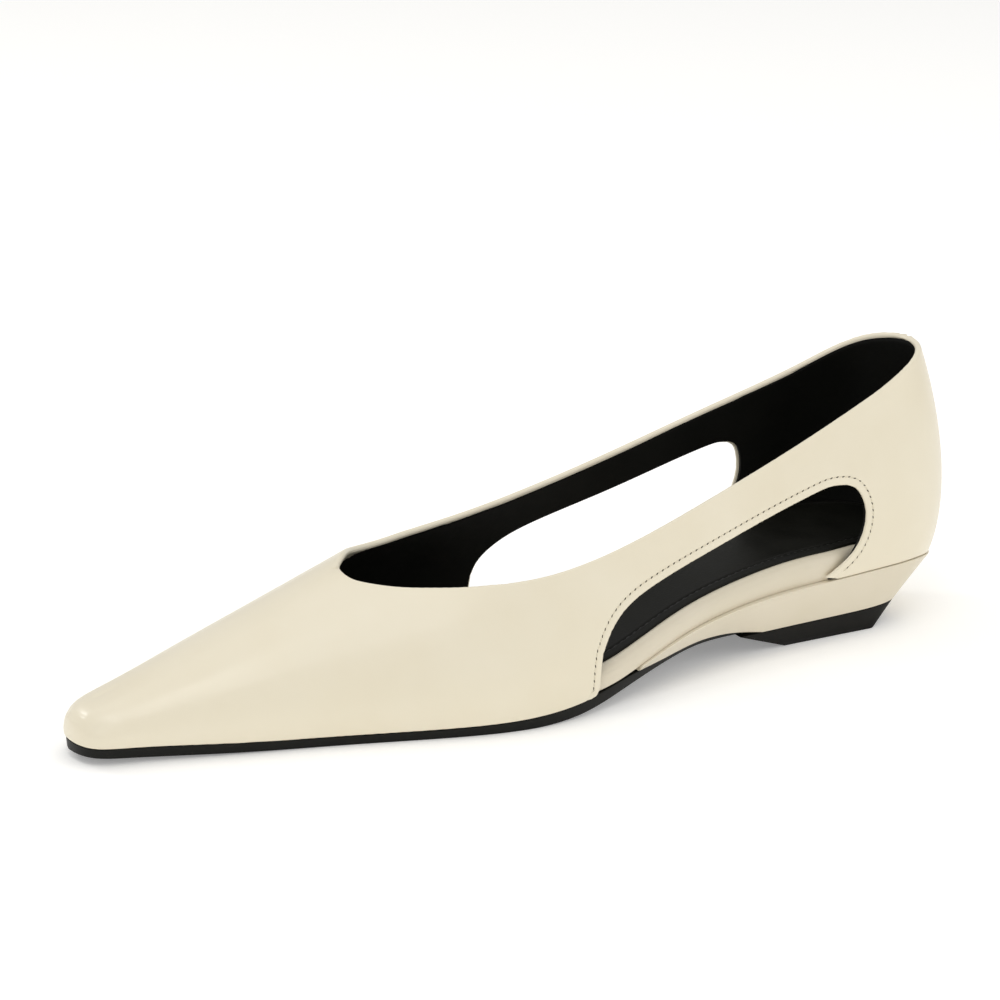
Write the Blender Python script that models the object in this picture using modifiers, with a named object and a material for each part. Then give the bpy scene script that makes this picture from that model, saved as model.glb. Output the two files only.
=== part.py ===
"""Left-foot pointed pump on a low wedge, with an open cut-out in each side.

The last is described by section tables in millimetres. Stations run along the foot from the toe (0) to the
back of the heel, the lateral side is at -Y and the floor is z = 0. The mesh itself is in metres.
"""
import bmesh
import bpy
import numpy as np

for old in list(bpy.data.objects):
    bpy.data.objects.remove(old, do_unlink=True)

MM = 0.001
GAP = 0.3                  # clearance between pieces that meet
LATERAL, MEDIAL = -1.0, 1.0

# Overall plan of the last
TOE = 2.6                  # station where the feather line begins at the toe
SEAT_END = 254.6           # station where it ends at the back of the seat
SEAT_MID = 226.0           # widest station of the seat, where its round back begins
TOE_ROUND = 18.0           # length over which the snipped toe is rounded
TOE_POWER, SEAT_POWER = 7.0, 3.2
CENTRE_X, CENTRE_Y = 130.4, -2.5   # middle of the shoe's box in the last's own stations

# Upper
WALL = 1.8                 # leather and lining together
THROAT = 76.6              # station of the throat on the instep ridge
RIDGE_START = 8.5          # the ridge begins this far behind the toe's tip
RIDGE_FAN = 27.0           # length of the toe over which the sections fan out to it
RIDGE_HEEL = 0.31          # share of the seat's round back that the ridge still travels
RIDGE_POWER = 1.5          # how late along the seat it falls behind

# Bottom
BED_INSET = 2.6            # footbed edge inside the feather line
BED_EDGE = 2.4             # rounding of the footbed's upper edge
SOCK_INSET = 5.0           # sock edge inside the feather line
SOCK_THICK = 0.9
SOLE_INSET = 0.9           # outsole edge inside the feather line
LEDGE = 0.7                # the wedge stands this far outside the counter's lower edge
LIFT_TOP = 6.4             # height of the top piece
LIFT_FRONT, LIFT_TREAD = 183.5, 200.0   # stations where its ramp starts above and ends on the floor
LIFT_BACK, LIFT_MID = 230.6, 226.5      # back of its tread, and where that starts to round
LIFT_HALF = 18.5           # half width of its tread
LIFT_POWER = 4.0           # squareness of its back in plan
SOLE_END = 190.0           # the outsole's skived end lies on the top piece
SEAT_HEIGHT = 18.0         # underside of the seat
WEDGE_TIP = 145.5          # front tip of the wedge
WEDGE_TIP_INSET = 1.2      # the tip lies this far inside the seam
WEDGE_TIP_THICK = 0.9      # and is this thin
SOLE_START = 2.9           # station of the outsole's front edge
SOLE_TAPER = 0.5           # its tread is this much narrower than its top on each side
BED_START, SOCK_START = 10.4, 13.4   # stations of the front ends inside the toe

# Mesh
THROAT_FOOT = 54.0         # station on the feather line of the column that meets the throat
STRAP_START, STRAP_END = 110.0, 208.0   # stations on the topline between which the strap's columns lie
TOE_COLUMNS, THROAT_COLUMNS, STRAP_COLUMNS, COUNTER_COLUMNS = 20, 12, 18, 18
FRONT_ROWS, STRAP_ROWS, REAR_ROWS = 3, 6, 6
SOLE_COLUMNS, FLAT_COLUMNS, WAIST_COLUMNS = 16, 6, 13
WEDGE_COLUMNS, HEEL_COLUMNS, LIFT_COLUMNS = 11, 18, 16
BED_FRONT_COLUMNS, BED_REAR_COLUMNS = 14, 18
BED_MIDDLE = 120.0         # station where the footbed's two runs of columns meet
TOE_EASE, HEEL_EASE, BACK_EASE = 0.25, 0.35, 0.8   # how slowly columns start from toe, heel and back seam
THROAT_POWER = 1.5         # and how much closer they lie round the throat
CROWN_COLUMNS = 4          # faces across the top and bottom of a section
EDGE_BULGE = 0.3           # share of a rounded edge's size left outside its middle point
WELD = 0.02                # points closer than this are one
SLIVER = 0.001             # edges shorter than this are dissolved
SMOOTH_ANGLE = 40.0        # degrees over which an edge stays sharp
BISECTIONS = 40


def natural_spline(knots, values):
    """Smooth curve through the knots, straight at both ends."""
    steps = np.diff(knots)
    slopes = np.diff(values) / steps
    count = len(knots)
    matrix = np.eye(count)
    target = np.zeros(count)
    for i in range(1, count - 1):
        matrix[i, i - 1:i + 2] = steps[i - 1], 2 * (steps[i - 1] + steps[i]), steps[i]
        target[i] = 6 * (slopes[i] - slopes[i - 1])
    bend = np.linalg.solve(matrix, target)

    def curve(place):
        place = np.clip(place, knots[0], knots[-1])
        i = np.clip(np.searchsorted(knots, place) - 1, 0, count - 2)
        before = place - knots[i]
        after = knots[i + 1] - place
        start = values[i] / steps[i] - bend[i] * steps[i] / 6
        end = values[i + 1] / steps[i] - bend[i + 1] * steps[i] / 6
        cubic = (bend[i] * after ** 3 + bend[i + 1] * before ** 3) / (6 * steps[i])
        return cubic + start * after + end * before
    return curve


def section_table(columns, *rows):
    """Named columns of a table, each as a smooth function of its first column."""
    places, *others = np.array(rows, float).T
    return {name: natural_spline(places, values) for name, values in zip(columns.split()[1:], others)}


def path_table(columns, *rows):
    """Named columns of a table, each as a smooth function of the share of the way along the path."""
    points = np.array(rows, float)
    legs = np.hypot(*np.diff(points[:, :2], axis=0).T)
    shares = np.concatenate([[0.0], np.cumsum(legs)]) / legs.sum()
    return {name: natural_spline(shares, values) for name, values in zip(columns.split(), points.T)}


# Half widths at the feather line, instep ridge, and the shape of each section between the two.
# Behind the throat the ridge is the last's own cone, which only guides the walls.
LAST = section_table(
    "station lateral medial ridge flare side crown",
    (0, 10.2, 6.5, 10.2, 0.5, 0.62, 0.62),
    (15, 13.0, 11.2, 15.6, 1.5, 0.62, 0.61),
    (40, 20.0, 19.3, 24.2, 2.3, 0.60, 0.59),
    (65, 27.0, 26.2, 33.3, 2.4, 0.55, 0.53),
    (90, 35.2, 33.6, 42.5, 2.4, 0.51, 0.48),
    (112, 40.0, 35.0, 51.5, 3.0, 0.50, 0.49),
    (135, 37.8, 31.6, 62.5, 3.5, 0.48, 0.48),
    (160, 32.2, 27.6, 76.5, 4.0, 0.45, 0.46),
    (190, 27.0, 26.2, 91.5, 5.5, 0.38, 0.41),
    (226, 22.8, 23.8, 100.0, 7.5, 0.35, 0.41),
    (254.6, 19.2, 19.2, 105.6, 11.4, 0.34, 0.41),
)

# Feather line seen from the side: toe spring, forefoot, arch and seat
FEATHER = section_table(
    "station height",
    (0, 5.0), (15, 4.5), (40, 3.4), (65, 2.9), (90, 2.9), (112, 3.4), (130, 5.3),
    (144, 9.0), (160, 14.0), (176, 17.0), (195, 18.5), (215, 18.7), (235, 18.8), (246, 18.0), (254.6, 15.8),
)

# Height of the topline from the vamp's sides back to the heel
TOPLINE = section_table(
    "station lateral medial",
    (83, 35.8, 36.0), (92, 35.5, 34.7), (105, 35.8, 34.5), (123, 37.2, 36.4), (145, 41.4, 41.4),
    (170, 48.1, 48.3), (200, 57.3, 57.3), (228, 67.6, 66.7), (247.6, 74.5, 74.1), (254.6, 75.8, 75.8),
)

# Its round front, the throat: distance from the ridge on each side, from there to the start of the strap
THROAT_EDGE = {
    LATERAL: path_table(
        "station across",
        (THROAT, 0.0), (76.3, 2.2), (76.4, 4.8), (77.2, 7.6), (79.1, 10.3), (82.7, 13.8),
        (87.0, 17.0), (92.0, 20.0), (100.0, 24.2), (STRAP_START, 28.2),
    ),
    MEDIAL: path_table(
        "station across",
        (THROAT, 0.0), (77.5, 1.7), (78.9, 3.7), (80.7, 6.2), (82.9, 9.4), (85.5, 13.2),
        (88.6, 16.8), (92.5, 19.9), (100.0, 23.6), (STRAP_START, 25.9),
    ),
}

# Edge of the cut-out, up behind the vamp, back under the strap and down to the counter's front tip
CUTOUT_FRONT = path_table(
    "lateral height medial",
    (130.6, 5.3, 130.2), (131.2, 10.0, 130.4), (132.2, 16.4, 131.0),
)
CUTOUT_ARCH = path_table(
    "lateral height medial",
    (132.2, 16.4, 131.0), (134.4, 20.3, 132.6), (138.6, 24.9, 137.0), (150.5, 30.5, 149.0),
    (169.0, 35.5, 167.0), (187.0, 40.2, 184.0), (204.0, 44.3, 199.0), (210.0, 45.2, 204.2),
    (214.5, 44.8, 207.6),
)
CUTOUT_REAR = path_table(
    "lateral height medial",
    (208.0, 19.3, 199.5), (213.0, 22.6, 203.6), (217.6, 26.4, 207.6), (220.2, 31.5, 210.3),
    (220.8, 36.0, 211.3), (219.6, 40.6, 210.8), (217.4, 43.5, 209.5), (214.5, 44.8, 207.6),
)

# Underside of the outsole, its thickness, and how far the waist is drawn in
SOLE = section_table(
    "station tread thick waist",
    (0, 2.4, 2.4, 0.0), (20, 1.2, 2.9, 0.0), (45, 0.3, 2.8, 0.0), (70, 0.0, 2.6, 0.0),
    (92, 0.0, 2.6, 0.0), (112, 0.0, 3.1, 0.0), (128, 1.2, 3.4, 0.2), (142, 4.0, 3.0, 1.4),
    (155, 6.2, 1.8, 3.2), (170, 7.5, 1.5, 5.2), (182, 7.0, 1.1, 6.0), (190, 6.72, 0.35, 6.4),
)
SOLE_FLAT = (68.0, 110.0)  # stations between which the forefoot lies on the floor

FOOTBED = section_table(
    "station thick",
    (10, 2.6), (40, 4.0), (80, 5.4), (120, 5.8), (257, 5.8),
)

# How far the bottom is drawn in under the arch of the foot, on the medial side
ARCH = section_table(
    "station inset",
    (0, 0.0), (132, 0.0), (140, 1.8), (148, 6.0), (158, 8.4), (168, 7.4), (178, 4.2), (188, 0.9), (197, 0.0),
)


def half_width(station, side):
    """Feather line in plan, with its rounded toe and seat."""
    column = "lateral" if side < 0 else "medial"
    toe = np.clip((station - TOE) / TOE_ROUND, 0, 1)
    seat = np.clip((station - SEAT_MID) / (SEAT_END - SEAT_MID), 0, 1)
    return LAST[column](station) * np.sqrt((1 - (1 - toe) ** TOE_POWER) * (1 - seat ** SEAT_POWER))


def ridge_station(station):
    """Station where the section that starts at this place of the feather line meets the ridge."""
    ahead = RIDGE_START * np.clip(1 - (station - TOE) / RIDGE_FAN, 0, 1) ** 2
    seat = np.clip((station - SEAT_MID) / (SEAT_END - SEAT_MID), 0, 1)
    behind = (1 - RIDGE_HEEL) * (SEAT_END - SEAT_MID) * seat ** RIDGE_POWER
    return station + ahead - behind


def upper_point(station, rise, side):
    """Outer face of the upper: one cubic section from the feather line (rise 0) to the ridge (rise 1)."""
    station, rise = np.broadcast_arrays(station, rise)
    foot = np.stack([station, side * half_width(station, side), FEATHER["height"](station)], -1)
    crest_station = ridge_station(station)
    crest = np.stack([crest_station, 0 * crest_station, LAST["ridge"](crest_station)], -1)
    reach = (foot - crest) * (1, 1, 0)
    outward = reach / np.maximum(np.linalg.norm(reach, axis=-1, keepdims=True), SLIVER)
    height = (crest - foot) * (0, 0, 1)
    flare, side_share, crown = (LAST[name](station)[..., None] for name in ("flare", "side", "crown"))
    low_handle = foot + flare * outward + side_share * height
    top_handle = crest + crown * reach
    t = rise[..., None]
    low_half = foot * (1 - t) ** 3 + 3 * low_handle * t * (1 - t) ** 2
    top_half = 3 * top_handle * t ** 2 * (1 - t) + crest * t ** 3
    return low_half + top_half


def rise_until(station, side, short):
    """How far up its section the upper still falls short of a limit."""
    low = np.zeros(np.shape(station))
    high = np.ones(np.shape(station))
    for _ in range(BISECTIONS):
        middle = (low + high) / 2
        under = short(upper_point(station, middle, side))
        low = np.where(under, middle, low)
        high = np.where(under, high, middle)
    return (low + high) / 2


def rise_at(station, height, side):
    """How far up its section the upper reaches this height."""
    return rise_until(station, side, lambda point: point[..., 2] < height)


def edge(path, shares, side):
    """Stations and rises along one leg of the cut-out."""
    station = path["lateral" if side < 0 else "medial"](shares)
    return np.stack([station, rise_at(station, path["height"](shares), side)], -1)


def topline(station, side):
    height = TOPLINE["lateral" if side < 0 else "medial"](station)
    return np.stack([station, rise_at(station, height, side)], -1)


def throat_edge(shares, side):
    """Stations and rises along one side of the throat."""
    station = THROAT_EDGE[side]["station"](shares)
    across = THROAT_EDGE[side]["across"](shares)
    return np.stack([station, rise_until(station, side, lambda point: np.abs(point[..., 1]) > across)], -1)


def from_tip(shares, ease=TOE_EASE):
    """Shares that start slowly, to keep columns even round the tip of the toe or the seat."""
    return shares ** 2 / (shares + ease * (1 - shares))


def even(count):
    return np.linspace(0, 1, count + 1)


def to_back(count, ease=HEEL_EASE):
    """Shares that slow down towards their end, for columns that close round the back of the heel."""
    return 1 - from_tip(even(count), ease)[::-1]


def coons(bottom, top, left, right):
    """Patch between four edges, as an array of columns and rows."""
    across = np.linspace(0, 1, len(bottom))[:, None, None]
    up = np.linspace(0, 1, len(left))[None, :, None]
    upright = (1 - up) * bottom[:, None] + up * top[:, None]
    level = (1 - across) * left[None] + across * right[None]
    front_corners = (1 - up) * bottom[0] + up * top[0]
    back_corners = (1 - up) * bottom[-1] + up * top[-1]
    return upright + level - (1 - across) * front_corners - across * back_corners


def straight(start, end, count):
    return start + even(count)[:, None] * (end - start)


def upper_patches(side):
    """Vamp, strap and counter of one side, as patches of stations and rises."""
    front = edge(CUTOUT_FRONT, even(FRONT_ROWS), side)
    arch = edge(CUTOUT_ARCH, even(STRAP_COLUMNS), side)
    rear = edge(CUTOUT_REAR, even(REAR_ROWS), side)

    toe_shares = from_tip(even(TOE_COLUMNS))
    throat_shares = even(THROAT_COLUMNS)[1:]
    toe_foot = TOE + (THROAT_FOOT - TOE) * toe_shares
    throat_foot = THROAT_FOOT + (front[0, 0] - THROAT_FOOT) * throat_shares
    feather = np.concatenate([toe_foot, throat_foot])
    feather = np.stack([feather, 0 * feather], -1)
    ridge = TOE + (THROAT - TOE) * toe_shares
    ridge = np.stack([ridge, 1 + 0 * ridge], -1)
    strap_top = topline(STRAP_START + (STRAP_END - STRAP_START) * even(STRAP_COLUMNS), side)
    throat = throat_edge(throat_shares ** THROAT_POWER, side)
    throat[-1] = strap_top[0]
    vamp_top = np.concatenate([ridge, throat])
    counter_shares = to_back(COUNTER_COLUMNS, BACK_EASE)
    counter_top = topline(STRAP_END + (SEAT_END - STRAP_END) * counter_shares, side)
    seat = rear[0, 0] + (SEAT_END - rear[0, 0]) * counter_shares
    seat = np.stack([seat, 0 * seat], -1)

    strap_front = straight(arch[0], strap_top[0], STRAP_ROWS)
    strap_back = straight(arch[-1], strap_top[-1], STRAP_ROWS)
    vamp_end = np.concatenate([front, strap_front[1:]])
    vamp_nose = straight(feather[0], vamp_top[0], FRONT_ROWS + STRAP_ROWS)
    counter_front = np.concatenate([rear, strap_back[1:]])
    back_seam = straight(seat[-1], counter_top[-1], REAR_ROWS + STRAP_ROWS)
    return (coons(feather, vamp_top, vamp_nose, vamp_end),
            coons(arch, strap_top, strap_front, strap_back),
            coons(seat, counter_top, counter_front, back_seam))


def to_frame(points):
    """Metres in the shoe's frame, whose origin is under the middle of its box."""
    return (np.asarray(points) - (CENTRE_X, CENTRE_Y, 0)) * MM


def add_grid(bm, places):
    """Grid of faces through an array of columns and rows of points."""
    columns, rows = places.shape[:2]
    grid = bmesh.ops.create_grid(bm, x_segments=columns - 1, y_segments=rows - 1, size=1)
    for vert in grid["verts"]:
        i = round((vert.co.x + 1) / 2 * (columns - 1))
        j = round((vert.co.y + 1) / 2 * (rows - 1))
        vert.co = to_frame(places[i, j])


def add_object(name, bm, material):
    """Object of this mesh in the shoe's collection."""
    mesh = bpy.data.meshes.new(name)
    bm.to_mesh(mesh)
    bm.free()
    mesh.shade_smooth()
    mesh.set_sharp_from_angle(angle=np.radians(SMOOTH_ANGLE))
    mesh.materials.append(material)
    item = bpy.data.objects.new(name, mesh)
    SHOE.objects.link(item)
    return item


def add_loft(name, rings, material):
    """Closed solid through rings of points; a ring drawn together to a line or a point closes its end."""
    rings = np.array(rings)
    bm = bmesh.new()
    add_grid(bm, np.concatenate([rings, rings[:, :1]], 1))
    bmesh.ops.remove_doubles(bm, verts=bm.verts, dist=WELD * MM)
    bmesh.ops.holes_fill(bm, edges=[item for item in bm.edges if item.is_boundary])
    bmesh.ops.dissolve_degenerate(bm, edges=bm.edges, dist=SLIVER * MM)
    bmesh.ops.recalc_face_normals(bm, faces=bm.faces)
    return add_object(name, bm, material)


def plain_material(name, colour, roughness):
    material = bpy.data.materials.new(name)
    material.use_nodes = True
    shader = material.node_tree.nodes["Principled BSDF"]
    shader.inputs["Base Color"].default_value = (*colour, 1)
    shader.inputs["Roughness"].default_value = roughness
    shader.inputs["Metallic"].default_value = 0.0
    return material


def across(station, left, right, height):
    """Points across a section at one height, from one side to the other."""
    return [(station, left + (right - left) * share, height) for share in even(CROWN_COLUMNS)]


def ring(low, top, low_half, top_half, round_edge=0.0):
    """One section, from the lateral foot up the side, over the top, down the medial side and back below.

    Low and top are pairs of station and height. The half widths are pairs for the lateral and medial side.
    """
    low_station, low_height = low
    top_station, top_height = top
    drop = min(round_edge, (top_height - low_height) / 2)
    left, right = -top_half[0], top_half[1]
    left_edge, right_edge = min(round_edge, top_half[0]), min(round_edge, top_half[1])
    over = across(top_station, left + left_edge, right - right_edge, top_height)
    if round_edge:
        shoulder, side = top_height - EDGE_BULGE * drop, top_height - drop
        over.insert(0, (top_station, left + EDGE_BULGE * left_edge, shoulder))
        over.insert(0, (top_station, left, side))
        over.append((top_station, right - EDGE_BULGE * right_edge, shoulder))
        over.append((top_station, right, side))
    return over + across(low_station, low_half[1], -low_half[0], low_height)


def arch_inset(station):
    """What the lateral and the medial half width lose under the arch."""
    return 0.0, max(float(ARCH["inset"](station)), 0.0)


def rounded_ends(station, inset, start, end):
    """Half widths drawn in from the feather line, closing at a start and an end of their own."""
    front = np.clip((station - start) / TOE_ROUND, 0, 1)
    back = np.clip((station - SEAT_MID) / (end - SEAT_MID), 0, 1)
    close = np.sqrt((1 - (1 - front) ** TOE_POWER) * (1 - back ** SEAT_POWER))
    plain = [float(LAST[name](station)) - inset for name in ("lateral", "medial")]
    return [(half - arch) * close for half, arch in zip(plain, arch_inset(station))]


def make_upper():
    bm = bmesh.new()
    for side in (LATERAL, MEDIAL):
        for patch in upper_patches(side):
            add_grid(bm, upper_point(patch[..., 0], patch[..., 1], side))
    bmesh.ops.remove_doubles(bm, verts=bm.verts, dist=WELD * MM)
    bmesh.ops.recalc_face_normals(bm, faces=bm.faces)
    nose = min(bm.faces, key=lambda face: face.calc_center_median().x)
    if nose.normal.x > 0:
        bmesh.ops.reverse_faces(bm, faces=bm.faces)
    upper = add_object("upper", bm, CREAM)
    wall = upper.modifiers.new("wall", "SOLIDIFY")
    wall.thickness = WALL * MM
    wall.offset = -1


def make_outsole():
    flat_start, flat_end = SOLE_FLAT
    front = SOLE_START + (flat_start - SOLE_START) * from_tip(even(SOLE_COLUMNS))
    flat = flat_start + (flat_end - flat_start) * even(FLAT_COLUMNS)
    waist = flat_end + (SOLE_END - GAP - flat_end) * even(WAIST_COLUMNS)
    rings = []
    for station in np.concatenate([front, flat[1:], waist[1:]]):
        on_floor = flat_start <= station <= flat_end
        tread = 0.0 if on_floor else max(float(SOLE["tread"](station)), 0.0)
        top = min(tread + float(SOLE["thick"](station)), float(FEATHER["height"](station)) - GAP)
        drawn_in = float(SOLE["waist"](station))
        outline = rounded_ends(station, SOLE_INSET, SOLE_START, SEAT_END)
        half = [max(value - drawn_in, 0.0) for value in outline]
        tread_half = [max(value - SOLE_TAPER, 0.0) for value in half]
        rings.append(ring((station, tread), (station, top), tread_half, half))
    add_loft("outsole", rings, BLACK_SOLE)


def heel_outline(share, height):
    """Station and half widths on the raked sides of the heel, at a height between its tread and the seat."""
    up = min(height / SEAT_HEIGHT, 1.0)
    front = LIFT_TREAD + (LIFT_FRONT - LIFT_TREAD) * height / LIFT_TOP
    if height > LIFT_TOP:
        front = SOLE_END
    seat_back = SEAT_END + LEDGE
    tread = front + (LIFT_BACK - front) * share
    seat = front + (seat_back - front) * share
    tread_round = np.clip((tread - LIFT_MID) / (LIFT_BACK - LIFT_MID), 0, 1)
    seat_round = np.clip((seat - SEAT_MID) / (seat_back - SEAT_MID), 0, 1)
    tread_half = LIFT_HALF * (1 - tread_round ** LIFT_POWER) ** (1 / LIFT_POWER)
    seat_close = np.sqrt(1 - seat_round ** SEAT_POWER)
    seat_half = [(float(LAST[side](seat)) + LEDGE) * seat_close for side in ("lateral", "medial")]
    return tread + (seat - tread) * up, [tread_half + (half - tread_half) * up for half in seat_half]


def make_heel_lift():
    rings = []
    for share in to_back(LIFT_COLUMNS):
        low_station, low_half = heel_outline(share, 0.0)
        top_station, top_half = heel_outline(share, LIFT_TOP)
        rings.append(ring((low_station, 0.0), (top_station, LIFT_TOP), low_half, top_half))
    add_loft("heel_lift", rings, BLACK_LIFT)


def make_heel_wedge():
    rings = []
    for share in even(WEDGE_COLUMNS):
        station = WEDGE_TIP + (SOLE_END - WEDGE_TIP) * share
        top = float(FEATHER["height"](station)) - GAP
        sole_top = float(SOLE["tread"](station)) + float(SOLE["thick"](station))
        low = min(sole_top + GAP, top - WEDGE_TIP_THICK)
        proud = LEDGE - WEDGE_TIP_INSET * (1 - share)
        plain = [float(half_width(station, side)) + proud for side in (LATERAL, MEDIAL)]
        half = [value - arch for value, arch in zip(plain, arch_inset(station))]
        foot = [value - float(SOLE["waist"](station)) for value in half]
        rings.append(ring((station, low), (station, top), foot, half))
    low = LIFT_TOP + GAP
    for share in to_back(HEEL_COLUMNS):
        low_station, low_half = heel_outline(share, low)
        top_station, top_half = heel_outline(share, SEAT_HEIGHT)
        top = float(FEATHER["height"](top_station)) - GAP
        rings.append(ring((low_station, low), (top_station, top), low_half, top_half))
    add_loft("heel_wedge", rings, CREAM_COVER)


def bed_stations(start, end):
    front = start + (BED_MIDDLE - start) * from_tip(even(BED_FRONT_COLUMNS))
    rear = BED_MIDDLE + (end - BED_MIDDLE) * to_back(BED_REAR_COLUMNS)
    return np.concatenate([front, rear[1:]])


def make_footbed():
    rings = []
    end = SEAT_END - BED_INSET
    for station in bed_stations(BED_START, end):
        low = float(FEATHER["height"](station))
        top = low + float(FOOTBED["thick"](station))
        half = rounded_ends(station, BED_INSET, BED_START, end)
        rings.append(ring((station, low), (station, top), half, half, BED_EDGE))
    add_loft("footbed", rings, CREAM_BED)


def make_sock():
    rings = []
    end = SEAT_END - SOCK_INSET
    for station in bed_stations(SOCK_START, end):
        low = float(FEATHER["height"](station)) + float(FOOTBED["thick"](station)) + GAP
        half = rounded_ends(station, SOCK_INSET, SOCK_START, end)
        rings.append(ring((station, low), (station, low + SOCK_THICK), half, half))
    add_loft("sock", rings, BLACK_SOCK)


SHOE = bpy.data.collections.new("pointed_wedge_pump")
bpy.context.scene.collection.children.link(SHOE)

CREAM = plain_material("cream smooth leather", (0.82, 0.76, 0.62), 0.42)
CREAM_COVER = plain_material("cream wedge cover", (0.80, 0.74, 0.60), 0.45)
CREAM_BED = plain_material("cream footbed wrap", (0.82, 0.76, 0.63), 0.45)
BLACK_SOCK = plain_material("black sock leather", (0.012, 0.012, 0.010), 0.5)
BLACK_SOLE = plain_material("black sole resin", (0.010, 0.010, 0.009), 0.4)
BLACK_LIFT = plain_material("black top-piece rubber", (0.014, 0.014, 0.012), 0.5)

make_upper()
make_outsole()
make_heel_wedge()
make_heel_lift()
make_footbed()
make_sock()
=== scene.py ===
# Left-foot pointed pump on a low wedge: leather, lining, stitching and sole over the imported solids.
# Tables are in millimetres on the last: stations run from the toe (0) to the back of the heel (255).
import math

import bmesh
import bpy
import numpy as np
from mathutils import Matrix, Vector
from mathutils.kdtree import KDTree


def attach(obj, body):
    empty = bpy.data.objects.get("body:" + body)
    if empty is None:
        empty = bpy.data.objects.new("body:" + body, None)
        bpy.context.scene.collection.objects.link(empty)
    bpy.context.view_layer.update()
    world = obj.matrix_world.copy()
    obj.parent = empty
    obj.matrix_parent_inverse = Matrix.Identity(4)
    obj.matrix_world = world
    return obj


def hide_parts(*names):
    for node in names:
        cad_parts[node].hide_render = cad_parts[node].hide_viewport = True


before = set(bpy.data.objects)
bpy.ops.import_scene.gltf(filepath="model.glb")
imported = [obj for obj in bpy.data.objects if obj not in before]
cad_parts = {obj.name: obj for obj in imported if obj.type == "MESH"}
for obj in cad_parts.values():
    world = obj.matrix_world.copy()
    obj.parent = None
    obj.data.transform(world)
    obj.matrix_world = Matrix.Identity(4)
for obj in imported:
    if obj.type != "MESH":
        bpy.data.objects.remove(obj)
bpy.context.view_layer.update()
print("frame loaded:", ", ".join(sorted(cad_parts)))

mm = 0.001
weldGap = 0.01 * mm
tiny = 1e-9
lateral, medial = -1.0, 1.0
sideNames = {lateral: "lateral", medial: "medial"}


# Smooth curves through short tables

def smoothCurve(knots, values):  # natural cubic spline
    steps = np.diff(knots)
    slopes = np.diff(values) / steps
    count = len(knots)
    matrix = np.eye(count)
    target = np.zeros(count)
    for i in range(1, count - 1):
        matrix[i, i - 1:i + 2] = steps[i - 1], 2 * (steps[i - 1] + steps[i]), steps[i]
        target[i] = 6 * (slopes[i] - slopes[i - 1])
    bend = np.linalg.solve(matrix, target)

    def curve(place):
        place = np.clip(place, knots[0], knots[-1])
        i = np.clip(np.searchsorted(knots, place) - 1, 0, count - 2)
        before, after = place - knots[i], knots[i + 1] - place
        start = values[i] / steps[i] - bend[i] * steps[i] / 6
        end = values[i + 1] / steps[i] - bend[i + 1] * steps[i] / 6
        cubic = (bend[i] * after ** 3 + bend[i + 1] * before ** 3) / (6 * steps[i])
        return cubic + start * after + end * before
    return curve


def stationTable(names, *rows):  # columns as curves over the first one
    places, *others = np.array(rows, float).T
    return {name: smoothCurve(places, values) for name, values in zip(names.split()[1:], others)}


def pathTable(names, *rows):  # columns as curves over the share of the way along the path
    points = np.array(rows, float)
    legs = np.hypot(*np.diff(points[:, :2], axis=0).T)
    shares = np.concatenate([[0.0], np.cumsum(legs)]) / legs.sum()
    return {name: smoothCurve(shares, values) for name, values in zip(names.split(), points.T)}


# The last

last = {
    "toe": 2.6, "seatEnd": 254.6, "seatMid": 226.0,      # ends of the feather line, start of the round back
    "toeRound": 18.0, "toePower": 7.0, "seatPower": 3.2,
    "centre": (130.4, -2.5, 0.0),                        # the frame's origin on the last
    "ridgeStart": 8.5, "ridgeFan": 27.0,                 # sections of the toe fan out to the instep ridge
    "ridgeHeel": 0.31, "ridgePower": 1.5,
}
sections = stationTable(
    "station lateral medial ridge flare side crown",
    (0, 10.2, 6.5, 10.2, 0.5, 0.62, 0.62),
    (15, 13.0, 11.2, 15.6, 1.5, 0.62, 0.61),
    (40, 20.0, 19.3, 24.2, 2.3, 0.60, 0.59),
    (65, 27.0, 26.2, 33.3, 2.4, 0.55, 0.53),
    (90, 35.2, 33.6, 42.5, 2.4, 0.51, 0.48),
    (112, 40.0, 35.0, 51.5, 3.0, 0.50, 0.49),
    (135, 37.8, 31.6, 62.5, 3.5, 0.48, 0.48),
    (160, 32.2, 27.6, 76.5, 4.0, 0.45, 0.46),
    (190, 27.0, 26.2, 91.5, 5.5, 0.38, 0.41),
    (226, 22.8, 23.8, 100.0, 7.5, 0.35, 0.41),
    (254.6, 19.2, 19.2, 105.6, 11.4, 0.34, 0.41),
)
feather = stationTable(
    "station height",
    (0, 5.0), (15, 4.5), (40, 3.4), (65, 2.9), (90, 2.9), (112, 3.4), (130, 5.3),
    (144, 9.0), (160, 14.0), (176, 17.0), (195, 18.5), (215, 18.7), (235, 18.8), (246, 18.0), (254.6, 15.8),
)["height"]
archInset = stationTable(  # how far the bottom is drawn in under the arch, on the medial side
    "station inset",
    (0, 0.0), (132, 0.0), (140, 1.8), (148, 6.0), (158, 8.4), (168, 7.4), (178, 4.2), (188, 0.9), (197, 0.0),
)["inset"]


def halfWidth(station, side):
    toe = np.clip((station - last["toe"]) / last["toeRound"], 0, 1)
    seat = np.clip((station - last["seatMid"]) / (last["seatEnd"] - last["seatMid"]), 0, 1)
    rounding = (1 - (1 - toe) ** last["toePower"]) * (1 - seat ** last["seatPower"])
    return sections[sideNames[side]](station) * np.sqrt(rounding)


def archDraw(station, side):
    return np.maximum(archInset(station), 0) * (side > 0)


def ridgeStation(station):
    seatLength = last["seatEnd"] - last["seatMid"]
    ahead = last["ridgeStart"] * np.clip(1 - (station - last["toe"]) / last["ridgeFan"], 0, 1) ** 2
    seat = np.clip((station - last["seatMid"]) / seatLength, 0, 1)
    return station + ahead - (1 - last["ridgeHeel"]) * seatLength * seat ** last["ridgePower"]


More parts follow.
